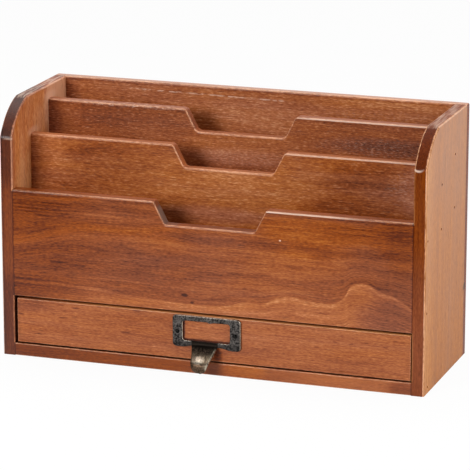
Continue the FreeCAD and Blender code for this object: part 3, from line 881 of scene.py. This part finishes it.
# %% Give every board its wood
upright, level, side_board, runner = "XZY", "XYZ", "ZYX", "YZX"
board_settings = {
    "front_panel": {"axes": upright, "tone": -0.02, "figure": front_panel_figure},
    "middle_divider": {"axes": upright, "tone": 0.08, "warmth": 0.6, "figure": middle_divider_figure},
    "rear_divider": {"axes": upright, "tone": 0.03, "warmth": 0.45, "figure": rear_divider_figure},
    "back_panel": {"axes": upright, "tone": 0.15, "end_tone": -0.36, "figure": back_panel_figure},
    "base_panel": {"axes": level, "tone": -0.04, "figure": base_panel_figure},
    "slot_floor": {"axes": level},
    "left_side_panel": {
        "axes": side_board,
        "tone": 0.27,
        "warmth": 0.48,
        "bands": 0.4,
        "edge_tone": -0.37,
        "wear": 0.25,
        "figure": left_side_figure,
    },
    "right_side_panel": {
        "axes": side_board,
        "tone": 0.115,
        "warmth": 0.95,
        "bands": 0.8,
        "edge_tone": -0.22,
        "wear": 0.9,
        "fade": 0.4,
        "varnish_index": 1.15,
        "figure": right_side_figure,
    },
    "drawer_front": {
        "axes": upright,
        "tone": 0.08,
        "warmth": 0.45,
        "bands": 0.5,
        "figure": drawer_front_figure,
    },
    "drawer_left_side": {"axes": runner, "tone": 0.1},
    "drawer_right_side": {"axes": runner, "tone": 0.1},
    "drawer_back": {"axes": upright, "tone": 0.1},
    "drawer_bottom": {"axes": level, "tone": 0.2},
}
rough_sawn = {"middle_divider": 0.3, "rear_divider": 0.5, "back_panel": 0.5}
for node_name, sawn in rough_sawn.items():
    board_settings[node_name].update({"sawn": sawn, "bands": 0.4, "wear": 0.85})
for seed, (node_name, settings) in enumerate(board_settings.items(), start=1):
    finish = stained_wood(node_name + "_wood", seed=seed, **settings)
    nodes[node_name].material_slots[0].material = finish
print("finished", len(board_settings), "boards")

# %% [markdown]
# ## The label frame and its pull
#
# One casting holds a paper label and serves as the handle: a flat frame whose lower rim swells into a
# tongue, which sweeps out, rolls over and ends in a lip for the fingertip. It could be carved from a
# block, but by hand it is quicker to start from flat outlines. Two planes with rounded corners give
# the frame's rim and window, a bridge joins them, and one extrusion gives the thickness. Vertices and
# edges are picked by their place, so a small helper does that picking in edit mode.

# %% Pick vertices, edges or faces in edit mode
def pick(kind, chosen):
    """Select the vertices, edges or faces for which chosen(item) is true, and count them."""
    bpy.ops.mesh.select_mode(type=kind)
    bpy.ops.mesh.select_all(action="DESELECT")
    mesh = bmesh.from_edit_mesh(bpy.context.edit_object.data)
    items = {"VERT": mesh.verts, "EDGE": mesh.edges, "FACE": mesh.faces}[kind]
    items.index_update()
    for item in items:
        item.select_set(chosen(item))
    mesh.select_flush_mode()
    bmesh.update_edit_mesh(bpy.context.edit_object.data)
    return sum(item.select for item in items)


def add_plate(name, centre, width, height):
    """Add an upright rectangle that faces the front, as a new object with its place in its mesh."""
    bpy.ops.object.select_all(action="DESELECT")
    bpy.ops.mesh.primitive_plane_add(size=1.0, location=centre, rotation=(math.pi / 2, 0, 0))
    plate = bpy.context.object
    plate.name = name
    plate.scale = (width, height, 1.0)
    bpy.ops.object.transform_apply(location=True, rotation=True, scale=True)
    return plate


def open_edges(piece):
    """How many edges of a mesh aren't shared by exactly two faces."""
    mesh = bmesh.new()
    mesh.from_mesh(piece.data)
    count = sum(not edge.is_manifold for edge in mesh.edges)
    mesh.free()
    return count


# %% The frame's outline, with a lower rim that rises towards the pull
drawer_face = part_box("drawer_front")[0].y
frame_thickness = 2.0 * MM
frame_face = drawer_face - frame_thickness
frame_middle, frame_width = -1.4 * MM, 54.8 * MM
frame_bottom, frame_top = 21.1 * MM, 46.1 * MM
frame_centre = Vector((frame_middle, frame_face, (frame_bottom + frame_top) / 2))
frame_height = frame_top - frame_bottom
frame_corner = 3.0 * MM
belly_half_width, belly_rise, belly_blend = 12.0 * MM, 1.5 * MM, 9.0 * MM
tiny = 1e-6

label_frame = add_plate("label_frame_and_pull", frame_centre, frame_width, frame_height)
bpy.ops.object.mode_set(mode="EDIT")
bpy.ops.mesh.select_mode(type="VERT")
bpy.ops.mesh.select_all(action="SELECT")
bpy.ops.mesh.bevel(offset=frame_corner, segments=6, affect="VERTICES")
pick("EDGE", lambda edge: all(abs(vert.co.z - frame_bottom) < tiny for vert in edge.verts))
bpy.ops.mesh.subdivide(number_cuts=24)


def is_belly(vert):
    return vert.co.z < frame_bottom + tiny and abs(vert.co.x - frame_centre.x) < belly_half_width


pick("VERT", is_belly)
bpy.ops.transform.translate(
    value=(0, 0, belly_rise),
    use_proportional_edit=True,
    proportional_edit_falloff="SMOOTH",
    proportional_size=belly_blend,
)
print("frame", round(frame_width / MM, 1), "by", round(frame_height / MM, 1), "mm")

# %% The window, the thickness and the rounded rims
window_corner, rim_round = 2.2 * MM, 0.8 * MM
window_centre = Vector((window_middle, frame_face, (window_bottom + window_top) / 2))
window_height = window_top - window_bottom
bpy.ops.mesh.select_all(action="DESELECT")
bpy.ops.mesh.primitive_plane_add(size=1.0, location=window_centre, rotation=(math.pi / 2, 0, 0))
bpy.ops.transform.resize(value=(window_width, 1.0, window_height), center_override=window_centre)
bpy.ops.mesh.bevel(offset=window_corner, segments=5, affect="VERTICES")
bpy.ops.mesh.select_all(action="SELECT")
bpy.ops.mesh.delete(type="ONLY_FACE")
bpy.ops.mesh.select_all(action="SELECT")
bpy.ops.mesh.bridge_edge_loops()
bpy.ops.mesh.select_all(action="SELECT")
bpy.ops.mesh.extrude_region_move(TRANSFORM_OT_translate={"value": (0, frame_thickness, 0)})
bpy.ops.mesh.select_all(action="SELECT")
bpy.ops.mesh.normals_make_consistent(inside=False)


def is_front_rim(edge):
    on_front = all(abs(vert.co.y - frame_face) < tiny for vert in edge.verts)
    return on_front and any(abs(face.normal.y) < 0.1 for face in edge.link_faces)


rims = pick("EDGE", is_front_rim)
bpy.ops.mesh.bevel(offset=rim_round, segments=4, affect="EDGES")
bpy.ops.object.mode_set(mode="OBJECT")
print("rounded", rims, "rim edges, open edges", open_edges(label_frame))

# %% [markdown]
# ### The tongue
#
# In profile the tongue is three simple curves: a wide hollow sweep away from the frame, a tight roll
# over its edge, and a short straight lip. Spin draws each arc by dragging a row of edges round a
# centre. Every row of the sheet is then narrowed towards a rounded tip, and its inner columns are
# pushed out for a slight crown. Solidify and Bevel turn the bent sheet into a casting. A solid block
# could be sculpted instead, but a sheet keeps the same thickness all over by itself.

# %% Bend the sheet
tongue_proud = 0.15 * MM
tongue_middle = -2.7 * MM
sweep_radius, sweep_turn = 34.3 * MM, math.radians(26.6)
roll_radius, roll_turn = 4.8 * MM, math.radians(72.0)
meeting_slope = math.radians(30.0)
lip_steps = [0.6 * MM, 0.6 * MM, 0.5 * MM, 0.5 * MM, 0.4 * MM, 0.3 * MM]
root_width, root_rise, columns = 21.2 * MM, 1.8 * MM, 12


def outwards(slope):
    """Direction square to the sheet's front where it falls at this slope, towards the viewer."""
    return Vector((0, -math.sin(slope), math.cos(slope)))


def pick_lowest_row():
    mesh = bmesh.from_edit_mesh(bpy.context.edit_object.data)
    low = min(vert.co.z for vert in mesh.verts)
    return pick("EDGE", lambda edge: all(abs(vert.co.z - low) < tiny for vert in edge.verts))


root = Vector((tongue_middle, frame_face - tongue_proud, window_bottom - root_rise))
tongue = add_plate("tongue", root + Vector((0, 0, root_rise / 2)), root_width, root_rise)
bpy.ops.object.mode_set(mode="EDIT")
pick("EDGE", lambda edge: abs(edge.verts[0].co.z - edge.verts[1].co.z) < tiny)
bpy.ops.mesh.subdivide(number_cuts=columns - 1)
sweep_centre = root + outwards(meeting_slope + sweep_turn) * sweep_radius
meeting = sweep_centre - outwards(meeting_slope) * sweep_radius
roll_centre = meeting - outwards(meeting_slope) * roll_radius
pick_lowest_row()
bpy.ops.mesh.spin(steps=9, angle=sweep_turn, center=sweep_centre, axis=(1, 0, 0))
pick_lowest_row()
bpy.ops.mesh.spin(steps=12, angle=roll_turn, center=roll_centre, axis=(-1, 0, 0))
lip_slope = meeting_slope + roll_turn
lip_direction = Vector((0, -math.cos(lip_slope), -math.sin(lip_slope)))
for step in lip_steps:
    pick_lowest_row()
    bpy.ops.mesh.extrude_region_move(TRANSFORM_OT_translate={"value": lip_direction * step})
bpy.ops.mesh.select_all(action="SELECT")
bpy.ops.mesh.remove_doubles(threshold=tiny)
bpy.ops.mesh.normals_make_consistent(inside=False)
if pick("FACE", lambda face: face.calc_center_median().z > root.z and face.normal.y > 0):
    bpy.ops.mesh.select_all(action="SELECT")
    bpy.ops.mesh.flip_normals()
sheet = bmesh.from_edit_mesh(tongue.data)
rows = sorted({round(vert.co.z, 6) for vert in sheet.verts})
tip = rows[0]
print("the tongue has", len(rows), "rows down to", round(tip / MM, 2), "mm above the table")

# %% Narrow it towards a round tip, and crown it
sheet.verts.index_update()
column_of = {vert.index: round((vert.co.x - root.x) / root_width * columns) for vert in sheet.verts}
roll_width, tip_width, tip_radius = 14.6 * MM, 10.2 * MM, 3.0 * MM
for height in rows:
    above_roll = min(max((height - meeting.z) / (root.z - meeting.z), 0.0), 1.0)
    below_roll = max((meeting.z - height) / (meeting.z - tip), 0.0)
    short = max(tip_radius - (height - tip), 0.0)
    width = roll_width + (root_width - roll_width) * above_roll + (tip_width - roll_width) * below_roll
    width = width - 2 * (tip_radius - math.sqrt(tip_radius**2 - short**2))
    pick("VERT", lambda vert: abs(vert.co.z - height) < 2 * tiny)
    bpy.ops.transform.resize(value=(width / root_width, 1, 1), center_override=root)

crown = 1.0 * MM
crown_starts = [22.0 * MM, 19.5 * MM, 17.0 * MM]
for start in crown_starts:
    for column in range(1 - columns // 2, columns // 2):
        pick("VERT", lambda vert: vert.co.z < start and column_of[vert.index] == column)
        share = 1 - (2 * column / columns) ** 2
        bpy.ops.transform.shrink_fatten(value=crown * share / len(crown_starts))
bpy.ops.object.mode_set(mode="OBJECT")
print("the tongue narrows to", round(tip_width / MM, 1), "mm, with a crown of", round(crown / MM, 1), "mm")


# %% Give it a thickness and soft edges
def apply_modifier(piece, kind, settings):
    """Add a modifier with these settings and apply it."""
    bpy.ops.object.select_all(action="DESELECT")
    piece.select_set(True)
    bpy.context.view_layer.objects.active = piece
    bpy.ops.object.modifier_add(type=kind)
    modifier = piece.modifiers[-1]
    for name, value in settings.items():
        setattr(modifier, name, value)
    bpy.ops.object.modifier_apply(modifier=modifier.name)


tongue_thickness, tongue_round, sharp = 1.8 * MM, 0.8 * MM, math.radians(50)
wall = {"thickness": tongue_thickness, "offset": -1.0, "use_even_offset": True}
apply_modifier(tongue, "SOLIDIFY", wall)
apply_modifier(tongue, "BEVEL", {"width": tongue_round, "segments": 4, "angle_limit": sharp})
print("tongue", len(tongue.data.polygons), "faces, open edges", open_edges(tongue))

# %% [markdown]
# ### Joining the casting
#
# A half-round tab hangs into the window from its upper rim, to keep the card in, and a shallow pocket
# behind the frame lets the card slide in from above. Tab, tongue and frame could stay separate meshes,
# but a casting is one piece. So Boolean modifiers unite the three, and take the pocket away.

# %% The card's tab and pocket
def combine(piece, tool, operation):
    """Unite a piece with a tool or take the tool away, and delete the tool."""
    apply_modifier(piece, "BOOLEAN", {"object": tool, "operation": operation, "solver": "EXACT"})
    bpy.data.objects.remove(tool, do_unlink=True)


tab_middle, tab_radius, tab_stretch = 1.6 * MM, 1.9 * MM, 1.5
tab_rise, tab_thickness, tab_sunk, tab_round = 1.2 * MM, 1.4 * MM, 0.15 * MM, 0.35 * MM
bpy.ops.object.select_all(action="DESELECT")
bpy.ops.mesh.primitive_cylinder_add(
    vertices=48,
    radius=tab_radius,
    depth=tab_thickness,
    location=(tab_middle, frame_face + tab_sunk + tab_thickness / 2, window_top + tab_rise),
    rotation=(math.pi / 2, 0, 0),
)
tab = bpy.context.object
tab.scale = (tab_stretch, 1.0, 1.0)
bpy.ops.object.transform_apply(location=True, rotation=True, scale=True)
apply_modifier(tab, "BEVEL", {"width": tab_round, "segments": 3})

pocket_depth, pocket_margin, pocket_past_top = 0.8 * MM, 2.0 * MM, 1.0 * MM
pocket_low = window_bottom - pocket_margin
pocket_height = frame_top - pocket_low + pocket_past_top
bpy.ops.object.select_all(action="DESELECT")
bpy.ops.mesh.primitive_cube_add(
    size=1.0, location=(window_middle, drawer_face, pocket_low + pocket_height / 2)
)
pocket = bpy.context.object
pocket.scale = (window_width + 2 * pocket_margin, 2 * pocket_depth, pocket_height)
bpy.ops.object.transform_apply(location=True, rotation=True, scale=True)

combine(label_frame, tab, "UNION")
combine(label_frame, tongue, "UNION")
combine(label_frame, pocket, "DIFFERENCE")
bpy.ops.object.select_all(action="DESELECT")
label_frame.select_set(True)
bpy.context.view_layer.objects.active = label_frame
bpy.ops.object.shade_smooth_by_angle(angle=math.radians(35))
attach(label_frame, "drawer")
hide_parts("label_frame")
print("casting", len(label_frame.data.polygons), "faces, open edges", open_edges(label_frame))

# %% [markdown]
# ### Blackened metal
#
# The casting was blackened and then rubbed, so its rims are bright, the roll is polished by fingers
# down to the brassy metal, and the flat face stays dark and gritty. Where it is rubbed follows from the
# place and the facing of the surface: on the flat frame the rims turn away from the front, and on the
# tongue its flanks look sideways. So no mask has to be painted. Rims that face up or right, towards the
# lamps, get a painted highlight, and the tongue's left flank is painted dark as shade. Fine brush lines
# run down the pull. Screws and brads are the same black metal without the brass.

# %% Dark, gritty metal
Metal = namedtuple("Metal", "material place parts turn grit patina colour gloss")


def dark_metal(name, seed, dark, light):
    """Start a gritty metal between two tones, with all that its finish may still build on."""
    material, place, facing = new_finish(name)
    parts = place.axes()
    everywhere = list(parts.values())
    grit = stretched_noise(everywhere, (1.3, 1.3, 1.3), seed, detail=3.0)
    patina = stretched_noise(everywhere, (7.0, 7.0, 7.0), seed + 0.1)
    colour = (0.5 + 3.2 * grit + 0.8 * patina).tint(dark, light)
    gloss = 0.44 + 0.3 * grit
    return Metal(material, place, parts, facing.axes(), grit, patina, colour, gloss)


def finish_metal(metal, colour, gloss):
    """Give a metal its colour and roughness, and its grit as fine bumps."""
    bump = metal.place.node("Bump", {}, {"Strength": 0.5, "Distance": 0.0002, "Height": metal.grit})
    surface = {"Base Color": colour, "Roughness": gloss, "Normal": bump, "Metallic": 1.0}
    finish_with(metal.material, metal.place, surface)
    return metal.material


def black_steel(name, seed, dark, light):
    """The plain black metal of screws and brads."""
    metal = dark_metal(name, seed, dark, light)
    return finish_metal(metal, metal.colour, metal.gloss)


# %% The pull, rubbed down to the brass
palm_middle, palm_reach = (-4.4, 15.0), (6.0, 2.8)
sooty_brown, pale_brass = srgb(22, 18, 15), srgb(228, 215, 194)


def pull_colour(metal, seed):
    """The tongue's colour, from a sooty root to brushed brass and a dark lip, and where its palm shines."""
    grit, patina = metal.grit, metal.patina
    sideways, height = metal.parts["X"], metal.parts["Z"]
    everywhere = list(metal.parts.values())
    brushed = stretched_noise(everywhere, (0.6, 5.0, 5.0), seed + 0.3)
    pits = stretched_noise(everywhere, (0.9, 0.9, 0.9), seed + 0.2).step(0.05, 0.22)
    lip = (0.5 + 2.6 * grit + patina).tint(srgb(36, 28, 22), srgb(108, 86, 68))
    brass = (0.5 + 2.0 * grit + 2.4 * brushed + patina).tint(srgb(64, 54, 44), srgb(216, 196, 164))
    brass = height.step(12.8, 14.4).tint(lip, brass)
    soot = (0.5 + 4.0 * grit).tint(srgb(16, 13, 11), srgb(92, 78, 66))
    soot = height.step(20.0, 23.5).tint(soot, sooty_brown)
    colour = (height + 9.0 * grit + 4.0 * patina).step(13.4, 20.5).tint(brass, soot)
    palm = spot(sideways, height, palm_middle, palm_reach) * (0.75 + 1.6 * grit + 2.0 * brushed)
    colour = palm.tint(colour, pale_brass)
    shaded = metal.turn["X"].step(-0.15, -0.5)
    colour = (0.7 * pits + shaded * (1 - pits)).tint(colour, srgb(30, 24, 19))
    return colour, palm


# %% The bright rims
roll_right, roll_height, tongue_flare = 4.6, 13.7, 0.3
root_height = 27.5


def bright_edges(metal, on_tongue):
    """The frame's rims, its tab and the tongue's right flank, pale where worn, with a painted highlight
    where they face up or right.
    """
    sideways, height = metal.parts["X"], metal.parts["Z"]
    front = abs(metal.turn["Y"])
    rim = front.step(0.94, 0.72) * front.step(0.15, 0.4) * (1 - on_tongue)
    root_half = root_width / 2 / MM
    at_root = abs(sideways - tongue_middle / MM).step(root_half + 1.2, root_half)
    at_root = at_root * height.step(root_height + 1.5, root_height)
    right_edge = (sideways - roll_right - tongue_flare * (height - roll_height)).step(-1.6, -0.7)
    flank = right_edge.most(metal.turn["X"].step(0.12, 0.45)) * on_tongue * height.step(22.5, 20.0)
    # painted highlight: the rims shine only where they face up or right, towards the lamps
    catching = (0.55 * metal.turn["X"] + 0.6 * metal.turn["Z"]).step(-0.1, 0.35)
    on_tab = spot(sideways, height, (tab_middle / MM, window_top / MM - 0.4), (3.4, 1.3))
    return (rim * (1 - at_root) + flank) * catching.most(on_tab) * (0.9 + metal.grit).step(0.3, 1.0)


def rubbed_bronze(name, seed, dark, light):
    """The casting's metal: black, bright on its rims, and brassy on its pull."""
    metal = dark_metal(name, seed, dark, light)
    height = metal.parts["Z"]
    face = frame_face / MM
    on_tongue = metal.parts["Y"].step(face - 0.05, face - 0.12) * height.step(root_height + 0.5, root_height)
    colour = (0.5 * height.step(root_height, root_height - 3.0)).tint(metal.colour, dark)
    pull, palm = pull_colour(metal, seed)
    colour = on_tongue.tint(colour, pull)
    edges = bright_edges(metal, on_tongue)
    shine = on_tongue.tint(srgb(240, 228, 208), srgb(246, 232, 204))
    colour = (0.85 * edges).tint(colour, shine)
    gloss = metal.gloss - 0.18 * edges - 0.14 * on_tongue * palm
    return finish_metal(metal, colour, gloss)


# %% Give the casting, the screws and the brads their metal
bronze = rubbed_bronze("antique_bronze", 20, dark=srgb(28, 26, 26), light=srgb(108, 102, 98))
label_frame.data.materials.clear()
label_frame.data.materials.append(bronze)
screw_steel = black_steel("screw_steel", 21, dark=srgb(6, 6, 6), light=srgb(48, 46, 44))
nodes["label_frame_screws"].material_slots[0].material = screw_steel
brad_steel = black_steel("brad_steel", 22, dark=srgb(22, 20, 19), light=srgb(86, 80, 76))
brad_nodes = [name for name in nodes if name.endswith("_brads")]
for node_name in brad_nodes:
    nodes[node_name].material_slots[0].material = brad_steel
print("finished the casting, its screws and", len(brad_nodes), "sets of brads")

# %% [markdown]
# ## Floor and light
#
# The rack stands on a pale table in a white studio. The table ends a little in front of it, so the
# varnish mirrors pale table low down and a dim room higher up, which keeps the stain deep. Seen
# straight by the camera, table and backdrop are white, but the table keeps a faint shadow. A white
# sweep all round would be simpler, but the varnish would mirror it and look milky.

# %% A pale table
def grey(value):
    """A grey of this linear brightness."""
    return (value, value, value, 1.0)


def plain_view(start):
    """Rays that show the background: 1 for those straight to the camera, and 1 for mirrored ones."""
    kinds = ("Is Camera Ray", "Is Glossy Ray", "Is Transmission Ray")
    straight, mirrored, through = (start.node("LightPath", output=kind) for kind in kinds)
    return straight, mirrored + through


table_front, table_back, table_half_width = -0.36, 1.6, 1.6
table_white, table_grey = 0.95, 0.85
bpy.ops.object.select_all(action="DESELECT")
bpy.ops.mesh.primitive_plane_add(size=1.0, location=(0, (table_front + table_back) / 2, 0))
floor = bpy.context.object
floor.name = "studio_table"
floor.scale = (2 * table_half_width, table_back - table_front, 1.0)
bpy.ops.object.transform_apply(location=True, rotation=True, scale=True)

table_paint = bpy.data.materials.new("pale_table_paint")
table_paint.use_nodes = True
floor.data.materials.append(table_paint)
paint = Wire(table_paint.node_tree)
straight, mirrored = plain_view(paint)
lit = paint.node("BsdfDiffuse", {}, {"Color": grey(table_grey)})
glow = paint.node("Emission", {}, {"Color": grey(1.0), "Strength": 1.0})
shown = paint.node("MixShader", {}, {0: table_white * (straight + mirrored), 1: lit, 2: glow})
paint.feed(table_paint.node_tree.nodes["Material Output"], {"Surface": shown})
print("the table ends", round((case_front * MM - table_front) / MM), "mm in front of the rack")

# %% A white studio with a dim room in front
room_light, backdrop_light = 0.07, 0.75
world = bpy.data.worlds.new("white_studio")
bpy.context.scene.world = world
world.use_nodes = True
sky = Wire(world.node_tree)
towards = sky.node("TexCoord", output="Generated").axes()
behind = towards["Y"].step(-0.3, 0.45)
studio = behind.tint(grey(room_light), grey(backdrop_light))
reflected = behind.tint(grey(room_light), grey(1.0))
straight, mirrored = plain_view(sky)
shown = straight.tint(mirrored.tint(studio, reflected), grey(1.0))
sky.feed(world.node_tree.nodes["Background"], {"Color": shown})
print("the room in front is", round(backdrop_light / room_light), "times darker than the backdrop")


# %% Softboxes
def softbox(name, azimuth, elevation, distance, width, height, watts):
    """Rectangular soft light round the rack, aimed at its middle."""
    lamp = bpy.data.lights.new(name, "AREA")
    lamp.shape = "RECTANGLE"
    lamp.size = width
    lamp.size_y = height
    lamp.energy = watts
    box = bpy.data.objects.new(name, lamp)
    bpy.context.scene.collection.objects.link(box)
    out = direction(math.radians(azimuth), math.radians(elevation))
    box.location = view_target + out * distance
    look_along(box, -out)
    return box


softbox("key_softbox", azimuth=-20, elevation=21, distance=1.5, width=0.55, height=0.45, watts=13.6)
softbox("right_softbox", azimuth=86, elevation=25, distance=1.5, width=1.0, height=1.0, watts=12.0)
softbox("fill_softbox", azimuth=40, elevation=25, distance=1.8, width=1.5, height=1.5, watts=3.4)
softbox("top_softbox", azimuth=-142, elevation=72, distance=1.6, width=1.4, height=0.9, watts=12.0)
print("the key light stands to the front left, two lamps to the right, and one overhead")

# %% [markdown]
# ## Sizes, and the view
#
# The dressed rack should be as large as its construction. Only the pull's fine form stands out about a
# millimetre further. Last, colours are shown through the plain Standard view.

# %% Show colours through the plain view
bpy.context.scene.view_settings.view_transform = "Standard"
